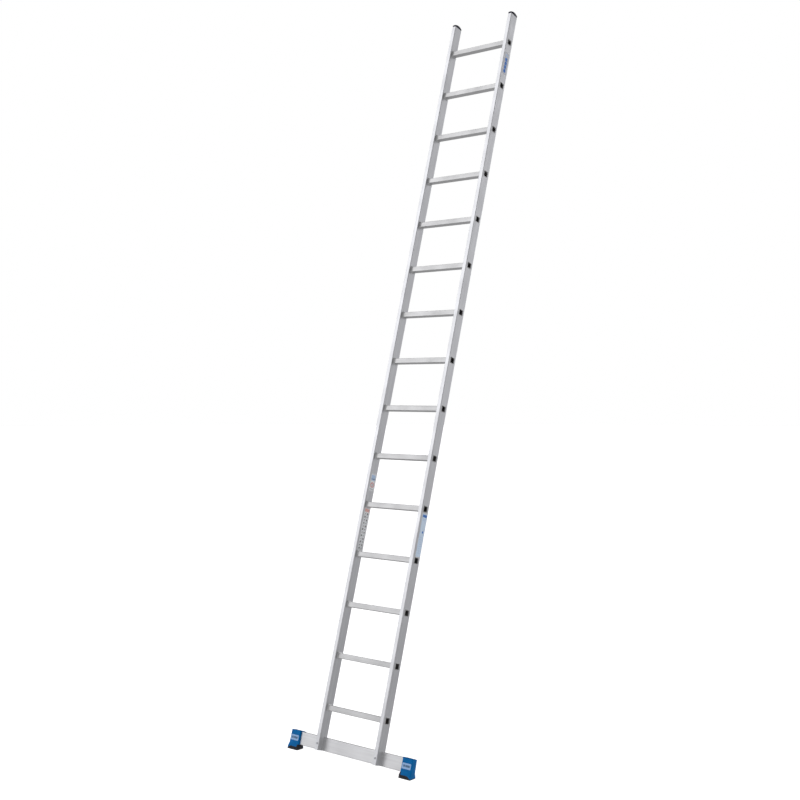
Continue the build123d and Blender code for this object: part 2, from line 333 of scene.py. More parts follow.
@dataclass(frozen=True)
class DrawnAluminium(Finish):
    """Mill-finished aluminium with fine lines along the way it was drawn."""

    name: str
    run: Run
    light: Colour = (0.86, 0.865, 0.87)
    dark: Colour = (0.77, 0.775, 0.785)
    roughness: Span = (0.33, 0.46)
    streak_pitch: float = 7.0
    streak_stretch: float = 60.0
    line_pitch: float = 0.8
    line_stretch: float = 150.0
    line_depth: float = 0.02
    line_rough: float = 0.03
    scuff_tone: float = 0.22
    scuff_rough: float = 0.06
    tread: bool = False
    tread_colour: Colour = (0.52, 0.52, 0.53)
    tread_reach: Span = (70.0, 190.0)
    tread_rough: float = 0.12

    def _drawn(self, graph: Graph, place: Socket, pitch: float, stretch: float) -> Socket:
        """Noise in streaks along the profile.

        Args:
            graph: builder of the material.
            place: position in millimetres.
            pitch: distance from streak to streak.
            stretch: length of a streak over its pitch.

        Returns:
            The noise, from 0 to 1.
        """
        across, along = 1 / pitch, 1 / (pitch * stretch)
        if self.run is Run.ALONG_STILE:
            scale = (across, across, along)
        else:
            scale = (along, across, across)
        return graph.noise(graph.stretched(place, scale), 1.0, 3.0)

    def _worn(self, graph: Graph, place: Socket) -> Socket:
        """Wear from shoes, on upper faces near the middle of the rung.

        Args:
            graph: builder of the material.
            place: position in millimetres.

        Returns:
            Share of wear, from 0 to 1.
        """
        up = AXES.matrix().to_3x3() @ Vector((0, 0, 1 / MM))
        normal = graph.add("NewGeometry").outputs["Normal"]
        facing = graph.add("VectorMath", {0: normal, 1: up}, operation="DOT_PRODUCT")
        upper = graph.range(facing.outputs["Value"], (0.6, 0.95), WHOLE)
        aside = graph.maths("ABSOLUTE", graph.add("SeparateXYZ", {0: place}).outputs[0])
        central = graph.range(aside, self.tread_reach, (1.0, 0.15))
        rub = graph.noise(graph.stretched(place, (0.02, 0.25, 0.25)), 1.0, 4.0)
        rubbed = graph.range(rub, (0.35, 0.65), (0.2, 0.8))
        return graph.maths("MULTIPLY", graph.maths("MULTIPLY", upper, central), rubbed)

    def build(self) -> bpy.types.Material:
        """Aluminium with streaks, hairlines, handling marks and, on a rung, a worn tread.

        Returns:
            The material.
        """
        material, graph = Graph.blank(self.name)
        place = graph.place()
        streak = self._drawn(graph, place, self.streak_pitch, self.streak_stretch)
        hairline = self._drawn(graph, place, self.line_pitch, self.line_stretch)
        cloud = graph.noise(place, 0.009, 3.0)
        scuff = graph.noise(graph.stretched(place, (0.05, 0.11, 0.035)), 1.0, 6.0, 0.7)
        scuff = graph.range(scuff, (0.6, 0.72), WHOLE)
        colour = graph.mix(graph.range(streak, NOISE_BODY, WHOLE), self.light, self.dark)
        colour = graph.mix(graph.maths("MULTIPLY", scuff, self.scuff_tone), colour, self.dark)
        rough = graph.range(cloud, NOISE_BODY, self.roughness)
        rough = graph.maths("ADD", rough, graph.maths("MULTIPLY", scuff, self.scuff_rough))
        lines = graph.range(hairline, NOISE_BODY, (-self.line_rough, self.line_rough))
        rough = graph.maths("ADD", rough, lines)
        if self.tread:
            worn = self._worn(graph, place)
            colour = graph.mix(worn, colour, self.tread_colour)
            rough = graph.maths("ADD", rough, graph.maths("MULTIPLY", worn, self.tread_rough))
        normal = graph.bump(hairline, 0.35, self.line_depth)
        graph.finish(Base_Color=colour, Metallic=1.0, Roughness=rough, Normal=normal)
        return material


@dataclass(frozen=True)
class PlatedSteel(Finish):
    """Zinc-plated steel with a faint crystal pattern."""

    name: str = "zinc_plated_steel"
    light: Colour = (0.68, 0.69, 0.70)
    dark: Colour = (0.47, 0.48, 0.50)
    roughness: Span = (0.26, 0.44)

    def build(self) -> bpy.types.Material:
        """Steel with patches of plating and a fine grain.

        Returns:
            The material.
        """
        material, graph = Graph.blank(self.name)
        place = graph.place()
        crystal = graph.add("TexVoronoi", {"Vector": place, "Scale": 0.7}).outputs["Color"]
        tone = graph.add("SeparateColor", {0: crystal}).outputs[0]
        grain = graph.noise(place, 3.0, 3.0)
        colour = graph.mix(tone, self.light, self.dark)
        rough = graph.range(graph.maths("ADD", tone, grain), (0.4, 1.6), self.roughness)
        normal = graph.bump(grain, 0.3, 0.02)
        graph.finish(Base_Color=colour, Metallic=1.0, Roughness=rough, Normal=normal)
        return material


@dataclass(frozen=True)
class MouldedPlastic(Finish):
    """Injection-moulded plastic with a spark-eroded grain and light scuffs."""

    name: str
    colour: Colour
    scuffed: Colour
    roughness: Span = (0.36, 0.52)
    grain_depth: float = 0.035
    scuff: float = 0.35
    scuff_rough: float = 0.3
    deep_tone: float = 0.86
    gloss: float = 0.2

    def build(self) -> bpy.types.Material:
        """Plastic with grain, slow changes of tone and scuffs.

        Returns:
            The material.
        """
        material, graph = Graph.blank(self.name)
        place = graph.place()
        grain = graph.noise(place, 1.4, 3.0, 0.6)
        cloud = graph.noise(place, 0.05, 3.0)
        mark = graph.noise(graph.stretched(place, (0.08, 0.3, 0.22)), 1.0, 7.0, 0.7)
        mark = graph.range(mark, (0.58, 0.74), (0.0, self.scuff))
        deeper = tuple(self.deep_tone * part for part in self.colour)
        colour = graph.mix(graph.range(cloud, NOISE_BODY, WHOLE), self.colour, deeper)
        colour = graph.mix(mark, colour, self.scuffed)
        rough = graph.range(cloud, NOISE_BODY, self.roughness)
        rough = graph.maths("ADD", rough, graph.maths("MULTIPLY", mark, self.scuff_rough))
        normal = graph.bump(grain, 0.45, self.grain_depth)
        graph.finish(Base_Color=colour, Roughness=rough, Normal=normal,
                     Specular_IOR_Level=self.gloss)
        return material


@dataclass(frozen=True)
class SoleRubber(Finish):
    """Black rubber with a matt skin and a little dust towards the floor."""

    name: str = "sole_black_rubber"
    colour: Colour = (0.009, 0.0085, 0.012)
    dust: Colour = (0.10, 0.095, 0.09)
    dust_height: Span = (0.0, 0.012)
    roughness: Span = (0.58, 0.78)
    gloss: float = 0.4

    def build(self) -> bpy.types.Material:
        """Rubber with pores and floor dust.

        Returns:
            The material.
        """
        material, graph = Graph.blank(self.name)
        place = graph.place()
        pores = graph.noise(place, 1.1, 4.0, 0.65)
        patches = graph.range(graph.noise(place, 0.12, 5.0, 0.6), (0.42, 0.7), (0.0, 0.5))
        here = graph.add("TexCoord").outputs["Object"]
        height = graph.add("SeparateXYZ", {0: here}).outputs[2]
        low = graph.range(height, self.dust_height, (1.0, 0.1))
        colour = graph.mix(graph.maths("MULTIPLY", patches, low), self.colour, self.dust)
        rough = graph.range(pores, NOISE_BODY, self.roughness)
        normal = graph.bump(pores, 0.6, 0.06)
        graph.finish(Base_Color=colour, Roughness=rough, Normal=normal,
                     Specular_IOR_Level=self.gloss)
        return material


@dataclass(frozen=True)
class PrintedFilm(Finish):
    """Film or ink of a label: even colour under a satin laminate with a fine orange peel."""

    name: str
    colour: Colour
    roughness: Span = (0.30, 0.42)
    grime_tone: float = 0.72

    def build(self) -> bpy.types.Material:
        """Film with a little handling grime and an orange peel.

        Returns:
            The material.
        """
        material, graph = Graph.blank(self.name)
        place = graph.place()
        grime = graph.range(graph.noise(place, 0.06, 5.0, 0.6), (0.4, 0.75), (0.0, 0.22))
        greyer = tuple(self.grime_tone * part for part in self.colour)
        colour = graph.mix(grime, self.colour, greyer)
        peel = graph.noise(place, 0.7, 2.0)
        rough = graph.range(peel, NOISE_BODY, self.roughness)
        normal = graph.bump(peel, 0.25, 0.02)
        graph.finish(Base_Color=colour, Roughness=rough, Normal=normal)
        return material


STILE_METAL = DrawnAluminium("stile_drawn_aluminium", Run.ALONG_STILE)
RUNG_METAL = DrawnAluminium("rung_drawn_aluminium", Run.ACROSS,
                            (0.68, 0.68, 0.67), (0.61, 0.61, 0.60), tread=True)
BAR_METAL = DrawnAluminium("bar_drawn_aluminium", Run.ACROSS,
                           (0.84, 0.84, 0.835), (0.77, 0.77, 0.765))
ZINC = PlatedSteel()
CAP_BLUE = MouldedPlastic("cap_blue_plastic", (0.0, 0.125, 0.36), (0.0, 0.18, 0.46), gloss=0.08)
PLUG_BLACK = MouldedPlastic("plug_black_plastic", (0.014, 0.014, 0.024), (0.09, 0.09, 0.10),
                            scuff=0.3)
RUBBER = SoleRubber()
BADGE_PALE = PrintedFilm("badge_pale_film", (0.25, 0.41, 0.66))
BADGE_BLUE = PrintedFilm("badge_blue_print", (0.06, 0.13, 0.24))
FILM_WHITE = PrintedFilm("label_white_film", (0.66, 0.67, 0.68))
FILM_BLUE = PrintedFilm("label_pale_blue_film", (0.50, 0.60, 0.72))
FILM_SILVER = PrintedFilm("label_silver_film", (0.47, 0.48, 0.51))
INK_BLUE = PrintedFilm("label_blue_ink", (0.03, 0.14, 0.45))
INK_SKY = PrintedFilm("label_sky_ink", (0.38, 0.50, 0.68))
INK_RED = PrintedFilm("label_red_ink", (0.50, 0.06, 0.05))
INK_ROSE = PrintedFilm("label_rose_ink", (0.60, 0.34, 0.31))
INK_DARK = PrintedFilm("label_dark_ink", (0.055, 0.055, 0.06))
INK_GREY = PrintedFilm("label_grey_ink", (0.30, 0.31, 0.33))


# ------------------------------------------------------------------------ mesh helpers


EdgeTest = Callable[[Edge], bool]


def new_block(mesh: Mesh, x: Span, y: Span, z: Span) -> None:
    """Add a box.

    Args:
        mesh: mesh to change.
        x: its two ends along X.
        y: its two ends along Y.
        z: its two ends along Z.
    """
    made = bmesh.ops.create_cube(mesh, size=1.0)["verts"]
    size = [high - low for low, high in (x, y, z)]
    centre = Vector([(high + low) / 2 for low, high in (x, y, z)])
    bmesh.ops.scale(mesh, vec=size, verts=made)
    bmesh.ops.translate(mesh, vec=centre, verts=made)


def verts_of(faces: Iterable[Face]) -> list[Vert]:
    """Vertices of some faces, once each and always in the same order."""
    return list(dict.fromkeys(vert for face in faces for vert in face.verts))


def edges_of(faces: Iterable[Face]) -> list[Edge]:
    """Edges of some faces, once each and always in the same order."""
    return list(dict.fromkeys(edge for face in faces for edge in face.edges))


def edge_middle(edge: Edge) -> Vector:
    """Middle of an edge."""
    return (edge.verts[0].co + edge.verts[1].co) / 2


def edge_runs(edge: Edge, axis: int, share: float = 0.9) -> bool:
    """True if an edge runs mostly along an axis."""
    along = edge.verts[1].co - edge.verts[0].co
    return abs(along[axis]) > share * along.length


def round_edges(mesh: Mesh, test: EdgeTest, radius: float, segments: int = 3) -> None:
    """Round the edges that pass a test.

    Args:
        mesh: mesh to change.
        test: picks the edges.
        radius: width of the rounding, in the mesh's own unit.
        segments: facets across it.
    """
    edges = [edge for edge in mesh.edges if test(edge)]
    bmesh.ops.bevel(mesh, geom=edges, offset=radius, offset_type="OFFSET", segments=segments,
                    profile=0.5, affect="EDGES", clamp_overlap=True, material=-1)


def inset(mesh: Mesh, faces: list[Face], thickness: float, depth: float = 0.0) -> None:
    """Inset faces as one region.

    Args:
        mesh: mesh to change.
        faces: the region; it is what remains inside.
        thickness: width of the new border.
        depth: how far the region rises, or sinks if it is negative.
    """
    bmesh.ops.inset_region(mesh, faces=faces, thickness=thickness, depth=depth,
                           use_even_offset=True)


def split_faces(mesh: Mesh, faces: list[Face], point: Vector, normal: Vector) -> None:
    """Cut some faces along a plane, and leave the rest as they are.

    Args:
        mesh: mesh to change.
        faces: the faces that may be cut.
        point: a point of the plane.
        normal: the plane's normal.
    """
    region = [*verts_of(faces), *edges_of(faces), *faces]
    bmesh.ops.bisect_plane(mesh, geom=region, dist=ON_PLANE, plane_co=point, plane_no=normal)
    mesh.normal_update()


def cut_below(mesh: Mesh, point: Vector, normal: Vector) -> None:
    """Remove what lies under a plane and close the cut.

    Args:
        mesh: mesh to change.
        point: a point of the plane.
        normal: the plane's normal, on the side that stays.
    """
    everything = [*mesh.verts, *mesh.edges, *mesh.faces]
    bmesh.ops.bisect_plane(mesh, geom=everything, dist=ON_PLANE, plane_co=point,
                           plane_no=normal, clear_inner=True)
    bmesh.ops.holes_fill(mesh, edges=[edge for edge in mesh.edges if edge.is_boundary], sides=0)


def push_faces(mesh: Mesh, faces: list[Face], move: Vector) -> list[Face]:
    """Extrude faces as one region.

    Args:
        mesh: mesh to change.
        faces: the region; its faces are used up.
        move: where the region goes.

    Returns:
        The faces at its end.
    """
    made = bmesh.ops.extrude_face_region(mesh, geom=faces)["geom"]
    verts = [part for part in made if isinstance(part, Vert)]
    bmesh.ops.translate(mesh, vec=move, verts=verts)
    used = [face for face in faces if face.is_valid]
    bmesh.ops.delete(mesh, geom=used, context="FACES_KEEP_BOUNDARY")
    mesh.normal_update()
    return [part for part in made if isinstance(part, Face)]


def join_meshes(mesh: Mesh, part: Mesh) -> None:
    """Add one mesh to another, with its faces outwards.

    Args:
        mesh: mesh to change.
        part: mesh to add; it is used up.
    """
    bmesh.ops.remove_doubles(part, verts=part.verts, dist=MERGE)
    bmesh.ops.recalc_face_normals(part, faces=part.faces)
    spare = bpy.data.meshes.new("spare")
    part.to_mesh(spare)
    part.free()
    mesh.from_mesh(spare)
    bpy.data.meshes.remove(spare)


@dataclass(frozen=True)
class Piece:
    """A finished piece: its name, slot, finishes and the CAD node that it stands for."""

    name: str
    slot: str
    finishes: tuple[Finish, ...]
    node: str

    def make(self, mesh: Mesh, side: Side = Side.RIGHT) -> None:
        """Turn a mesh drawn on the right side, in the ladder's millimetres, into a piece.

        Args:
            mesh: the shape; it is used up.
            side: the side that the piece belongs to.
        """
        bmesh.ops.remove_doubles(mesh, verts=mesh.verts, dist=MERGE)
        flip = Matrix.Diagonal((side.value, 1, 1, 1))
        bmesh.ops.transform(mesh, matrix=AXES.matrix() @ flip, verts=mesh.verts)
        bmesh.ops.recalc_face_normals(mesh, faces=mesh.faces)
        data = bpy.data.meshes.new(self.name)
        mesh.to_mesh(data)
        mesh.free()
        data.shade_smooth()
        data.set_sharp_from_angle(angle=SHARP)
        for finish in self.finishes:
            data.materials.append(finish.material())
        piece = bpy.data.objects.new(self.name, data)
        bpy.context.scene.collection.objects.link(piece)
        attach(piece, BODY)
        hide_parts(self.node)
        log.info("%s: %d faces for %s", self.name, len(data.polygons), self.node)


def dress(nodes: Iterable[str], finish: Finish) -> None:
    """Give a finish to CAD nodes that keep their shape.

    Args:
        nodes: names of the nodes.
        finish: what they are made of.
    """
    for name in nodes:
        node = frame["nodes"][name]
        for slot in node.material_slots:
            slot.material = finish.material()
        log.info("%s: dressed in %s", name, finish.name)


# ---------------------------------------------------------------------- sub-assemblies


@dataclass(frozen=True)
class Stiles:
    """The two hollow stiles."""

    finish: Finish = STILE_METAL

    def build(self) -> None:
        """Dress both stiles."""
        dress([f"{side.word}_stile" for side in Side], self.finish)


@dataclass(frozen=True)
class Rungs:
    """The rungs, fixed in the stiles by a bead and a flange at each end."""

    finish: Finish = RUNG_METAL

    def build(self) -> None:
        """Dress every rung."""
        dress(sorted(name for name in frame["nodes"] if name.startswith("rung_")), self.finish)


@dataclass(frozen=True)
class Stabiliser:
    """The stabiliser bar with its bolts."""

    finish: Finish = BAR_METAL
    fastener_finish: Finish = ZINC
    fasteners: tuple[str, ...] = (
        "bar_bolts", "bar_washers", "bar_nuts", "bolt_sleeves", "cap_screws",
    )

    def build(self) -> None:
        """Dress the bar and its fasteners."""
        dress(["stabiliser_bar"], self.finish)
        dress(self.fasteners, self.fastener_finish)


@dataclass(frozen=True)
class Foot:
    """One foot: a blue cap over the bar's end, a rubber sole under it and a plain badge."""

    side: Side
    profile: Profile = PROFILE
    inner: float = 361.0
    outer: float = 427.0
    front: float = 25.0
    back: float = 63.0
    wall: float = 3.0
    draft: float = 2.0
    flare_aside: float = 5.95
    flare_depth: float = 4.0
    shoulder: float = -222.0
    cheek: float = 6.0
    cheek_top: float = -226.5
    parting: float = -240.0
    parting_turn: float = 412.0
    lobe_front: float = -253.6
    lobe_back: float = -240.9
    sole_front: float = -257.95
    sole_blank: float = 20.0
    sole_radius: float = 1.6
    corner_radius: float = 5.0
    mouth_radius: float = 2.0
    crown_radius: float = 2.2
    shoulder_radius: float = 3.0
    shoulder_bend: float = 0.05
    clearance: float = 0.12
    panel_border: float = 4.2
    panel_depth: float = 0.8
    tongue_long: float = 14.8
    tongue_wide: float = 19.0
    tongue_root: float = 6.0
    tongue_step: float = 0.6
    tongue_corner: float = 4.0
    tongue_edge: float = 0.7
    boss_section: tuple[Span, ...] = (
        (5.2, -0.6), (8.0, -0.6), (8.0, 0.6), (7.1, 1.6), (5.6, 1.6), (5.2, 1.1),
    )
    boss_steps: int = 32
    groove_pitch: float = 9.0
    groove_wide: float = 3.2
    groove_steps: tuple[Span, ...] = ((0.5, 0.0), (0.15, -1.4))
    badge_wide: float = 56.0
    badge_high: float = 29.0
    badge_middle: float = -193.5
    badge_proud: float = 0.75
    badge_gap: float = 0.05
    badge_radius: float = 3.0
    badge_steps: tuple[Span, ...] = ((2.2, 0.0), (0.3, -0.4))
    badge_blocks: tuple[tuple[float, float, float, float], ...] = (
        (-21, -9, -5, 6), (-6.5, 21.5, -5, 6),
    )
    block_depths: Span = (0.1, 0.6)
    block_radius: float = 1.0

    @property
    def middle(self) -> float:
        """Distance of the foot's middle from the ladder's middle plane."""
        return (self.inner + self.outer) / 2

    @property
    def depth(self) -> float:
        """Middle of the foot between the climbing face and the wall."""
        return (self.front + self.back) / 2

    @property
    def crown(self) -> float:
        """Height of the cap's top."""
        return self.profile.bar_top + self.wall

    @property
    def notch(self) -> float:
        """Distance at which the cap leaves room for the sole's cheek."""
        return self.inner + self.cheek

    @property
    def base(self) -> tuple[Span, Span]:
        """Span of the foot's base across the ladder and in depth."""
        aside = (self.inner - self.flare_aside, self.outer + self.flare_aside)
        return aside, (self.front - self.flare_depth, self.back + self.flare_depth)

    def _growth(self, height: float) -> Span:
        """How much wider and deeper than its top the foot is on each side.

        Args:
            height: where it is asked for.

        Returns:
            The growth across the ladder and in depth.
        """
        drop = (self.shoulder - height) / (self.shoulder - self.parting)
        share = min(1.0, max(0.0, drop))
        return self.draft + share * (self.flare_aside - self.draft), share * self.flare_depth

    def _fit(self, faces: list[Face]) -> None:
        """Move the corners of unrounded level faces to the foot's outline at their height.

        Args:
            faces: the level faces.
        """
        for vert in verts_of(faces):
            aside, deeper = self._growth(vert.co.z)
            if vert.co.x < self.inner + NEAR:
                vert.co.x = self.inner - aside
            elif vert.co.x > self.outer - NEAR:
                vert.co.x = self.outer + aside
            vert.co.y = self.front - deeper if vert.co.y < self.depth else self.back + deeper

    def _settle(self, verts: Iterable[Vert]) -> None:
        """Put vertices on the line where cap and rubber meet, which drops towards the end.

        Args:
            verts: the vertices.
        """
        (_, end), (front, back) = self.base
        for vert in verts:
            along = (vert.co.y - front) / (back - front)
            lobe = self.lobe_front + (self.lobe_back - self.lobe_front) * along
            share = max(0.0, vert.co.x - self.parting_turn) / (end - self.parting_turn)
            vert.co.z = self.parting + (lobe - self.parting) * share

    def _floor_plane(self) -> tuple[Vector, Vector]:
        """A point of the floor and the floor's upward normal, in the ladder's axes."""
        normal = Matrix.Rotation(-AXES.tilt, 3, "X") @ UP
        return Vector((0, self.front - self.flare_depth, self.sole_front)), normal

    def _is_inner_side(self, face: Face) -> bool:
        """True if a face lies on the cap's side that looks at the ladder's middle."""
        return face.normal.x < -0.5 and face.calc_center_median().x < self.inner + NEAR

    def _is_inside(self, face: Face) -> bool:
        """Test a face against the outline of the bar.

        Args:
            face: a face of the cap.

        Returns:
            True if it is on the inner side, within the mouth for the bar.
        """
        profile, centre, gap = self.profile, face.calc_center_median(), self.clearance + TOUCH
        depths = profile.bar_front - gap < centre.y < profile.stile_depth + gap
        heights = -profile.foot_reach - gap < centre.z < profile.bar_top + gap
        return self._is_inner_side(face) and depths and heights

    def _open_mouth(self, mesh: Mesh) -> None:
        """Sink a pocket for the bar into the cap's inner side.

        Args:
            mesh: the cap.
        """
        profile, gap = self.profile, self.clearance
        planes = (
            (INWARD, profile.bar_front - gap),
            (INWARD, profile.stile_depth + gap),
            (UP, profile.bar_top + gap),
            (UP, -profile.foot_reach - gap),
        )
        for normal, distance in planes:
            side_faces = [face for face in mesh.faces if self._is_inner_side(face)]
            split_faces(mesh, side_faces, normal * distance, normal)
        mouth = [face for face in mesh.faces if self._is_inside(face)]
        edges = edges_of(mouth)
        rim = [edge for edge in edges if sum(face in mouth for face in edge.link_faces) == 1]
        inner = [edge for edge in edges if edge not in rim]
        bmesh.ops.delete(mesh, geom=mouth, context="FACES_ONLY")
        loose = [edge for edge in inner if edge.is_valid and not edge.link_faces]
        bmesh.ops.delete(mesh, geom=loose, context="EDGES")
        made = bmesh.ops.extrude_edge_only(mesh, edges=rim)["geom"]
        for vert in [part for part in made if isinstance(part, Vert)]:
            vert.co.x = profile.bar_end + gap
        ends = [part for part in made if isinstance(part, Edge) and part.is_boundary]
        bmesh.ops.contextual_create(mesh, geom=ends)

    @staticmethod
    def _lower_faces(mesh: Mesh, beyond: float) -> list[Face]:
        """Faces that look down, past a distance from the ladder's middle plane."""
        down = [face for face in mesh.faces if face.normal.z < -LEVEL]
        return [face for face in down if face.calc_center_median().x > beyond]

    def _shell(self) -> Mesh:
        """Draw the cap's outside: it widens to its parting line, with a notch and a lobe.

        Returns:
            The outside, with sharp edges.
        """
        mesh = bmesh.new()
        new_block(mesh, (self.inner, self.outer), (self.front, self.back),
                  (self.shoulder, self.crown))
        mesh.normal_update()
        under = self._lower_faces(mesh, 0)
        self._fit(under)
        under = push_faces(mesh, under, UP * (self.cheek_top - self.shoulder))
        self._fit(under)
        split_faces(mesh, self._lower_faces(mesh, 0), ACROSS * self.notch, ACROSS)
        drop = UP * (self.parting - self.cheek_top)
        self._fit(push_faces(mesh, self._lower_faces(mesh, self.notch), drop))
        under = self._lower_faces(mesh, self.notch)
        split_faces(mesh, under, ACROSS * self.parting_turn, ACROSS)
        lobe = push_faces(mesh, self._lower_faces(mesh, self.parting_turn), -UP)
        self._settle(verts_of(lobe))
        bmesh.ops.remove_doubles(mesh, verts=mesh.verts, dist=TOUCH)
        mesh.normal_update()
        return mesh

    def _is_mouth_edge(self, edge: Edge) -> bool:
        """True for upright edges at the inner side towards the wall, beside the mouth."""
        here = edge_middle(edge)
        return edge_runs(edge, 2, UPRIGHT) and here.x < self.inner + NEAR and here.y > self.depth

    def _is_corner_edge(self, edge: Edge) -> bool:
        """Test for the foot's other upright edges.

        Args:
            edge: an edge of the foot.

        Returns:
            True if it is one.
        """
        aside = edge_middle(edge).x
        at_end = aside > self.outer - NEAR or aside < self.inner + NEAR
        return edge_runs(edge, 2, UPRIGHT) and at_end and not self._is_mouth_edge(edge)

    def _is_crown_edge(self, edge: Edge) -> bool:
        """True for edges round the cap's top."""
        return all(abs(vert.co.z - self.crown) < TOUCH for vert in edge.verts)

    def _is_shoulder_edge(self, edge: Edge) -> bool:
        """True for edges where the cap starts to widen."""
        level = all(abs(vert.co.z - self.shoulder) < NEAR / 2 for vert in edge.verts)
        return level and edge.is_manifold and edge.calc_face_angle(0.0) > self.shoulder_bend

    def _sink_panel(self, mesh: Mesh) -> None:
        """Sink the front panel, which leaves a rim round it.

        Args:
            mesh: the cap.
        """
        mesh.normal_update()
        fronts = [face for face in mesh.faces if face.normal.y < -FLAT]
        fronts = [face for face in fronts if face.calc_center_median().z > self.shoulder]
        panel = [max(fronts, key=lambda face: face.calc_area())]
        inset(mesh, panel, self.panel_border)
        inset(mesh, panel, self.panel_depth, -self.panel_depth)

    def _add_tongue(self, mesh: Mesh) -> None:
        """Add the short tongue that lies on the bar.

        Args:
            mesh: the cap.
        """
        half, bottom = self.tongue_wide / 2, self.profile.bar_top + self.clearance
        middle = (self.profile.bar_front + self.profile.stile_depth) / 2
        upper = bottom + self.wall - self.tongue_edge
        part = bmesh.new()
        new_block(part, (self.inner - self.tongue_long, self.inner + self.tongue_root),
                  (middle - half, middle + half), (bottom, bottom + self.wall - self.tongue_step))
        round_edges(part, lambda edge: edge_runs(edge, 2) and edge_middle(edge).x < self.inner,
                    self.tongue_corner, 5)
        round_edges(part, lambda edge: edge_middle(edge).z > upper, self.tongue_edge)
        join_meshes(mesh, part)

    def _add_boss(self, mesh: Mesh) -> None:
        """Add the ring that guards the screw's head at the back.

        Args:
            mesh: the cap.
        """
        part = bmesh.new()
        height = self.profile.bar_high / 2 - self.profile.foot_reach
        centre = Vector((self.middle, self.back, height))
        section = [part.verts.new(centre + Vector((radius, lift, 0)))
                   for radius, lift in self.boss_section]
        edges = [part.edges.new(ends) for ends in zip(section, section[1:] + section[:1])]
        bmesh.ops.spin(part, geom=[*section, *edges], cent=centre, axis=INWARD,
                       angle=math.tau, steps=self.boss_steps, use_merge=True)
        join_meshes(mesh, part)

    def cap(self) -> None:
        """Make the moulded cap with its mouth, front panel, tongue and screw boss."""
        mesh = self._shell()
        round_edges(mesh, self._is_corner_edge, self.corner_radius, 5)
        round_edges(mesh, self._is_mouth_edge, self.mouth_radius)
        round_edges(mesh, self._is_crown_edge, self.crown_radius, 4)
        round_edges(mesh, self._is_shoulder_edge, self.shoulder_radius)
        self._sink_panel(mesh)
        mesh.normal_update()
        self._open_mouth(mesh)
        self._add_tongue(mesh)
        self._add_boss(mesh)
        name = f"{self.side.word}_foot_cap"
        Piece(name + "_moulded", "cap_blue", (CAP_BLUE,), name).make(mesh, self.side)

    def _raise_cheek(self, mesh: Mesh) -> None:
        """Raise the sole's inner side up to the bar.

        Args:
            mesh: the sole.
        """
        tops = [face for face in mesh.faces if face.normal.z > LEVEL]
        tops = [face for face in tops if face.calc_center_median().x < self.notch]
        raised = push_faces(mesh, tops, UP * (self.cheek_top - self.parting))
        aside, deeper = self._growth(self.cheek_top)
        for vert in verts_of(raised):
            if vert.co.x < self.notch - TOUCH:
                vert.co.x += self.flare_aside - aside
            vert.co.y += math.copysign(self.flare_depth - deeper, self.depth - vert.co.y)

    def _cut_grooves(self, mesh: Mesh, up: Vector) -> None:
        """Sink tread grooves into the sole's underside.

        Args:
            mesh: the sole.
            up: the floor's upward normal.
        """
        start = self.inner
        while start + self.groove_wide < self.outer:
            end = start + self.groove_wide
            for cut in (start, end):
                under = [face for face in mesh.faces if face.normal.dot(up) < -FLAT]
                split_faces(mesh, under, ACROSS * cut, ACROSS)
            strip = [face for face in mesh.faces if face.normal.dot(up) < -FLAT]
            strip = [face for face in strip if start < face.calc_center_median().x < end]
            for thickness, depth in self.groove_steps:
                inset(mesh, strip, thickness, depth)
            start += self.groove_pitch

    def sole(self) -> None:
        """Make the rubber sole, cut level with the floor, with a cheek at its inner side."""
        mesh = bmesh.new()
        aside, depths = self.base
        point, up = self._floor_plane()
        new_block(mesh, aside, depths, (self.sole_front - self.sole_blank, self.parting))
        round_edges(mesh, self._is_corner_edge, self.corner_radius, 5)
        round_edges(mesh, self._is_mouth_edge, self.mouth_radius)
        cut_below(mesh, point, up)
        mesh.normal_update()
        for cut in (self.notch, self.parting_turn):
            tops = [face for face in mesh.faces if face.normal.z > LEVEL]
            split_faces(mesh, tops, ACROSS * cut, ACROSS)
        self._settle(vert for vert in mesh.verts if vert.co.z > self.parting - TOUCH)
        self._raise_cheek(mesh)
        mesh.normal_update()
        rim = edges_of([min(mesh.faces, key=lambda face: face.normal.dot(up))])
        round_edges(mesh, lambda edge: edge in rim, self.sole_radius)
        mesh.normal_update()
        self._cut_grooves(mesh, up)
        name = f"{self.side.word}_foot_sole"
        Piece(name + "_rubber", "sole_rubber", (RUBBER,), name).make(mesh, self.side)

    def badge(self) -> None:
        """Make the plain badge in the cap's panel: a plate with a rim and two raised blocks."""
        mesh = bmesh.new()
        half_wide, half_high = self.badge_wide / 2, self.badge_high / 2
        face = self.front - self.badge_proud
        rear = self.front + self.panel_depth - self.badge_gap
        new_block(mesh, (self.middle - half_wide, self.middle + half_wide), (face, rear),
                  (self.badge_middle - half_high, self.badge_middle + half_high))
        round_edges(mesh, lambda edge: edge_runs(edge, 1), self.badge_radius, 5)
        mesh.normal_update()
        plate = [front for front in mesh.faces if front.normal.y < -LEVEL]
        for thickness, depth in self.badge_steps:
            inset(mesh, plate, thickness, depth)
        for left, right, low, high in self.badge_blocks:
            part = bmesh.new()
            ends = sorted(self.middle + self.side.value * end for end in (left, right))
            depths = tuple(face + depth for depth in self.block_depths)
            heights = (self.badge_middle + low, self.badge_middle + high)
            new_block(part, tuple(ends), depths, heights)
            round_edges(part, lambda edge: edge_runs(edge, 1), self.block_radius)
            for block_face in part.faces:
                block_face.material_index = 1
            join_meshes(mesh, part)
        name = f"{self.side.word}_foot_badge"
        finishes = (BADGE_PALE, BADGE_BLUE)
        Piece(name + "_plate", "badge_pale", finishes, name).make(mesh, self.side)

    def build(self) -> None:
        """Make the foot's three pieces."""
        self.cap()
        self.sole()
        self.badge()


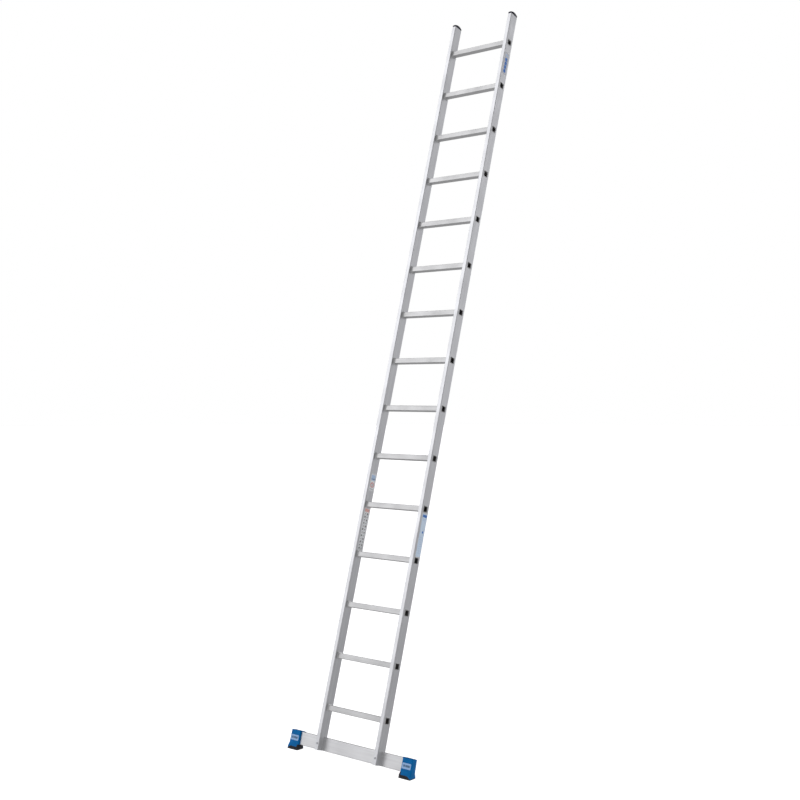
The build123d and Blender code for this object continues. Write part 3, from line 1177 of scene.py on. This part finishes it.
@dataclass(frozen=True)
class TopPlug:
    """Plug in a stile's upper end, with a head domed along the stile's depth and across it."""

    side: Side
    profile: Profile = PROFILE
    high: float = 19.8
    long_radius: float = 60.0
    cross_radius: float = 30.0
    edge_radius: float = 1.6
    edge_bend: float = 0.8
    dome_rise: float = 0.7
    skirt: float = 24.0
    skirt_wall: float = 2.0
    skirt_gap: float = 0.1
    rows: int = 14
    columns: int = 6

    @property
    def top(self) -> float:
        """Height of the dome's middle."""
        return self.profile.top + self.high

    def _dome(self, mesh: Mesh) -> None:
        """Turn the flat top into a dome.

        Args:
            mesh: the plug's head.
        """
        profile = self.profile
        ways = (
            (ACROSS, profile.inside, profile.stile_thick, self.columns),
            (INWARD, 0.0, profile.stile_depth, self.rows),
        )
        for way, start, length, count in ways:
            for index in range(1, count):
                flat = [face for face in mesh.faces if face.normal.z > LEVEL]
                split_faces(mesh, flat, way * (start + length * index / count), way)
        for vert in mesh.verts:
            if vert.co.z > self.top - TOUCH:
                across, along = vert.co.x - profile.stile_x, vert.co.y - profile.stile_depth / 2
                vert.co.z -= self.long_radius - math.sqrt(self.long_radius ** 2 - along ** 2)
                vert.co.z -= self.cross_radius - math.sqrt(self.cross_radius ** 2 - across ** 2)
        mesh.normal_update()

    def build(self) -> None:
        """Make the plug with its hollow skirt."""
        mesh = bmesh.new()
        profile = self.profile
        new_block(mesh, (profile.inside, profile.width / 2), (0.0, profile.stile_depth),
                  (profile.top, self.top))
        round_edges(mesh, lambda edge: edge_runs(edge, 2), profile.stile_radius)
        mesh.normal_update()
        self._dome(mesh)
        rim = edges_of(face for face in mesh.faces if face.normal.z > self.dome_rise)
        round_edges(mesh, lambda edge: edge in rim and edge.calc_face_angle(0.0) > self.edge_bend,
                    self.edge_radius)
        mesh.normal_update()
        under = [face for face in mesh.faces if face.normal.z < -LEVEL]
        inset(mesh, under, profile.stile_wall + self.skirt_gap)
        end = push_faces(mesh, under, UP * -self.skirt)
        inset(mesh, end, self.skirt_wall)
        push_faces(mesh, end, UP * (self.skirt - self.skirt_wall))
        name = f"{self.side.word}_top_plug"
        Piece(name + "_moulded", "plug_black", (PLUG_BLACK,), name).make(mesh, self.side)


class Mark(Enum):
    """Outline of a printed mark."""

    BAR = 4
    DISC = 28
    DIAMOND = 0
    TRIANGLE = 3


@dataclass(frozen=True)
class Print:
    """One printed mark on a label: where it stands, how large it is and its ink."""

    mark: Mark
    middle: tuple[float, float]
    size: tuple[float, float]
    ink: int
    layer: int = 0


@dataclass(frozen=True)
class Label:
    """A thin printed label on a stile's side that looks towards +X."""

    name: str
    slot: str
    face: float
    depth: float
    heights: Span
    film: Finish
    inks: tuple[Finish, ...]
    prints: tuple[Print, ...]
    wide: float = 39.6
    thick: float = 0.3
    print_thick: float = 0.07
    print_sunk: float = 0.02
    layer_step: float = 0.03
    corner: float = 2.0

    def _stamp(self, mesh: Mesh, item: Print) -> None:
        """Raise one mark on the film.

        Args:
            mesh: the label.
            item: the mark.
        """
        part = bmesh.new()
        square = item.mark is Mark.BAR
        sides = item.mark.value or 4
        spin = Matrix.Rotation(math.pi / sides if square else math.pi / 2, 4, "Z")
        reach = math.sqrt(0.5) if square else 0.5
        bmesh.ops.create_circle(part, cap_ends=True, segments=sides, radius=reach, matrix=spin)
        bmesh.ops.scale(part, vec=(*item.size, 1.0), verts=part.verts)
        upright = Matrix(((0, 0, 1, 0), (1, 0, 0, 0), (0, 1, 0, 0), (0, 0, 0, 1)))
        bmesh.ops.transform(part, matrix=upright, verts=part.verts)
        lift = self.face + self.thick - self.print_sunk + item.layer * self.layer_step
        across, high = item.middle
        move = Vector((lift, self.depth + across, self.heights[0] + high))
        bmesh.ops.translate(part, vec=move, verts=part.verts)
        made = bmesh.ops.extrude_face_region(part, geom=list(part.faces))["geom"]
        front = [vert for vert in made if isinstance(vert, Vert)]
        bmesh.ops.translate(part, vec=ACROSS * self.print_thick, verts=front)
        for face in part.faces:
            face.material_index = item.ink
        join_meshes(mesh, part)

    def build(self) -> None:
        """Make the film and stamp its marks."""
        mesh = bmesh.new()
        half = self.wide / 2
        new_block(mesh, (self.face, self.face + self.thick),
                  (self.depth - half, self.depth + half), self.heights)
        round_edges(mesh, lambda edge: edge_runs(edge, 0), self.corner, 5)
        for item in self.prints:
            self._stamp(mesh, item)
        finishes = (self.film, *self.inks)
        Piece(self.name + "_printed", self.slot, finishes, self.name).make(mesh)


@dataclass(frozen=True)
class MarkTable:
    """Two columns of plain marks, each on a pale field in its own frame.

    A frame, its field and its mark are given by their width and by how much lower they
    are than a row.
    """

    count: int = 12
    pitch: float = 17.5
    start: float = 10.5
    aside: float = 9.2
    frame: Span = (16.6, 2.0)
    field: Span = (15.6, 3.0)
    mark: Span = (9.5, 8.0)
    order: tuple[Mark, ...] = (Mark.DISC, Mark.TRIANGLE, Mark.BAR, Mark.DIAMOND)

    def prints(self) -> tuple[Print, ...]:
        """Lay the marks out, from the label's lower end up.

        Returns:
            The frames, fields and marks.
        """
        parts = (self.frame, self.field, self.mark)
        frame, field, sign = [(wide, self.pitch - lower) for wide, lower in parts]
        made = []
        for row in range(self.count):
            for column, aside in enumerate((-self.aside, self.aside)):
                centre = (aside, self.start + row * self.pitch)
                mark = self.order[(row * 3 + column) % len(self.order)]
                made.append(Print(Mark.BAR, centre, frame, 2))
                made.append(Print(Mark.BAR, centre, field, 3, 1))
                made.append(Print(mark, centre, sign, 4, 2))
        return tuple(made)


def label_set(profile: Profile) -> tuple[Label, ...]:
    """Lay out the labels, with plain marks in place of words and signs.

    Args:
        profile: sizes of the stiles.

    Returns:
        The four labels.
    """
    inside, outside = -profile.inside, profile.width / 2
    care = (
        Print(Mark.BAR, (0, 74), (33, 32), 1),
        Print(Mark.BAR, (0, 66), (26, 3), 3),
        Print(Mark.DISC, (0, 33), (29, 29), 2),
        Print(Mark.DISC, (0, 33), (20, 20), 4, 1),
        Print(Mark.BAR, (0, 33), (7, 13), 3, 2),
        Print(Mark.BAR, (0, 9), (30, 4), 3),
    )
    steps = (Print(Mark.BAR, (0, 223), (36, 18), 1), *MarkTable().prints())
    size = (
        Print(Mark.BAR, (0, 220.5), (34, 14), 1),
        Print(Mark.BAR, (0, 203), (30, 3), 2),
        Print(Mark.BAR, (0, 196), (24, 3), 2),
        Print(Mark.DISC, (4, 133), (13, 13), 1),
        *(Print(Mark.BAR, (0, 20 + 12 * row), (30 - 5 * (row % 3), 3), 2) for row in range(8)),
    )
    top = (
        *(Print(Mark.BAR, (0, 21.5 + 23.7 * row), (21, 21), 1) for row in range(4)),
        Print(Mark.BAR, (0, 120), (26, 8), 2),
    )
    return (
        Label("care_label", "label_film", inside, 33.0, (1200.2, 1295.8), FILM_WHITE,
              (INK_SKY, INK_RED, INK_GREY, FILM_WHITE), care),
        Label("steps_label", "label_film", inside, 33.0, (864.2, 1097.8), FILM_WHITE,
              (INK_ROSE, INK_GREY, FILM_WHITE, INK_DARK), steps),
        Label("size_label", "label_film_blue", outside, 36.0, (862.2, 1095.8), FILM_BLUE,
              (INK_BLUE, INK_SKY), size),
        Label("top_label", "label_film_blue", outside, 30.0, (3714.2, 3851.8), FILM_SILVER,
              (INK_BLUE, INK_SKY), top),
    )


# ------------------------------------------------------------------------------ studio


@dataclass(frozen=True)
class SoftLight:
    """A large soft box."""

    name: str
    place: Point
    aim: Point
    size: tuple[float, float]
    power: float

    def build(self) -> None:
        """Hang the light and turn it to its aim."""
        data = bpy.data.lights.new(self.name, "AREA")
        data.shape = "RECTANGLE"
        data.size, data.size_y = self.size
        data.energy = self.power
        lamp = bpy.data.objects.new(self.name, data)
        lamp.visible_glossy = False
        lamp.location = self.place
        way = Vector(self.aim) - Vector(self.place)
        lamp.rotation_euler = way.to_track_quat("-Z", "Y").to_euler()
        bpy.context.scene.collection.objects.link(lamp)


@dataclass(frozen=True)
class GlowCard:
    """A soft bright patch of the room, seen only as a reflection and as light.

    Its bearing is the angle from +X towards +Y, its rise the angle above the horizon and
    its half_width the angle from its middle to its faded rim, all in degrees.
    """

    bearing: float
    rise: float
    half_width: float
    level: float

    def glow(self, graph: Graph, way: Socket) -> Socket:
        """Brightness that the card adds along a direction.

        Args:
            graph: builder of the room.
            way: the direction.

        Returns:
            The brightness.
        """
        turned, raised = math.radians(self.bearing), math.radians(self.rise)
        flat = math.cos(raised)
        centre = Vector((flat * math.cos(turned), flat * math.sin(turned), math.sin(raised)))
        product = graph.add("VectorMath", {0: way, 1: centre}, operation="DOT_PRODUCT")
        rim = math.cos(math.radians(self.half_width))
        return graph.range(product.outputs["Value"], (rim, 1.0), (0.0, self.level), "SMOOTHSTEP")


@dataclass(frozen=True)
class Studio:
    """White floor, soft surroundings, soft boxes and the camera."""

    floor_radius: float = 60.0
    floor_sides: int = 96
    floor_colour: Colour = (0.80, 0.80, 0.80)
    floor_rough: float = 0.9
    floor_glow: float = 0.90
    room_heights: Span = (-1.0, 0.757)
    room_levels: Span = (0.547, 0.02)
    room_tint: tuple[float, ...] = (0.995, 0.995, 1.03, 1.0)
    cards: tuple[GlowCard, ...] = (
        GlowCard(-143.6, 31.8, 44.1, 1.25),
        GlowCard(80.3, 10.4, 35.7, 1.06),
        GlowCard(-22.0, 15.0, 52.0, 0.30),
        GlowCard(60.0, 72.0, 42.0, 0.50),
    )
    backdrop: float = 1.0
    camera_place: Point = (4.170, -5.238, 1.957)
    camera_level: float = 90.0
    camera_turn: float = 39.533
    camera_pitch: float = -0.453
    lens: float = 53.37
    sensor: float = 36.0
    lights: tuple[SoftLight, ...] = (
        SoftLight("key_box", (-2.6, -4.2, 7.2), (0.0, 0.0, 1.6), (3.6, 3.6), 150.0),
    )

    def floor(self) -> None:
        """Lay a pale floor, bright enough to run into the backdrop without a seam."""
        material, graph = Graph.blank("studio_floor")
        graph.finish(Base_Color=self.floor_colour, Roughness=self.floor_rough,
                     Specular_IOR_Level=0.0, Emission_Color=WHITE,
                     Emission_Strength=self.floor_glow)
        mesh = bmesh.new()
        bmesh.ops.create_circle(mesh, cap_ends=True, segments=self.floor_sides,
                                radius=self.floor_radius)
        data = bpy.data.meshes.new("studio_floor")
        mesh.to_mesh(data)
        mesh.free()
        data.materials.append(material)
        floor = bpy.data.objects.new("studio_floor", data)
        floor.visible_glossy = False
        bpy.context.scene.collection.objects.link(floor)

    def surroundings(self) -> None:
        """Build the room: white to the camera, dim with bright cards to everything else."""
        world = bpy.data.worlds.new("studio_room")
        world.use_nodes = True
        world.node_tree.nodes.clear()
        graph = Graph(world.node_tree)
        way = graph.add("TexCoord").outputs["Generated"]
        rise = graph.add("SeparateXYZ", {0: way}).outputs[2]
        level = graph.range(rise, self.room_heights, self.room_levels)
        for card in self.cards:
            level = graph.maths("ADD", level, card.glow(graph, way))
        room = graph.add("Background", {"Color": self.room_tint, "Strength": level})
        white = graph.add("Background", {"Color": WHITE, "Strength": self.backdrop})
        seen = graph.add("LightPath").outputs["Is Camera Ray"]
        both = graph.add("MixShader", {0: seen, 1: room.outputs[0], 2: white.outputs[0]})
        graph.add("OutputWorld", {"Surface": both.outputs[0]})
        bpy.context.scene.world = world

    def camera(self) -> None:
        """Set up the camera, level with the middle of the ladder and to its right."""
        data = bpy.data.cameras.new("camera")
        data.lens = self.lens
        data.sensor_width = self.sensor
        camera = bpy.data.objects.new("camera", data)
        camera.location = self.camera_place
        turns = (self.camera_level + self.camera_pitch, 0.0, self.camera_turn)
        camera.rotation_euler = [math.radians(turn) for turn in turns]
        bpy.context.scene.collection.objects.link(camera)
        bpy.context.scene.camera = camera

    def build(self) -> None:
        """Set up the whole studio."""
        scene = bpy.context.scene
        scene.view_settings.view_transform = "Standard"
        scene.view_settings.look = "None"
        self.floor()
        self.surroundings()
        self.camera()
        for light in self.lights:
            light.build()


def main() -> None:
    """Build the ladder's looks from the feet up, then the studio."""
    logging.basicConfig(level=logging.INFO, format="%(name)s: %(message)s")
    Stiles().build()
    Rungs().build()
    Stabiliser().build()
    for side in Side:
        Foot(side).build()
        TopPlug(side).build()
    for label in label_set(PROFILE):
        label.build()
    Studio().build()


if __name__ == "__main__":
    main()
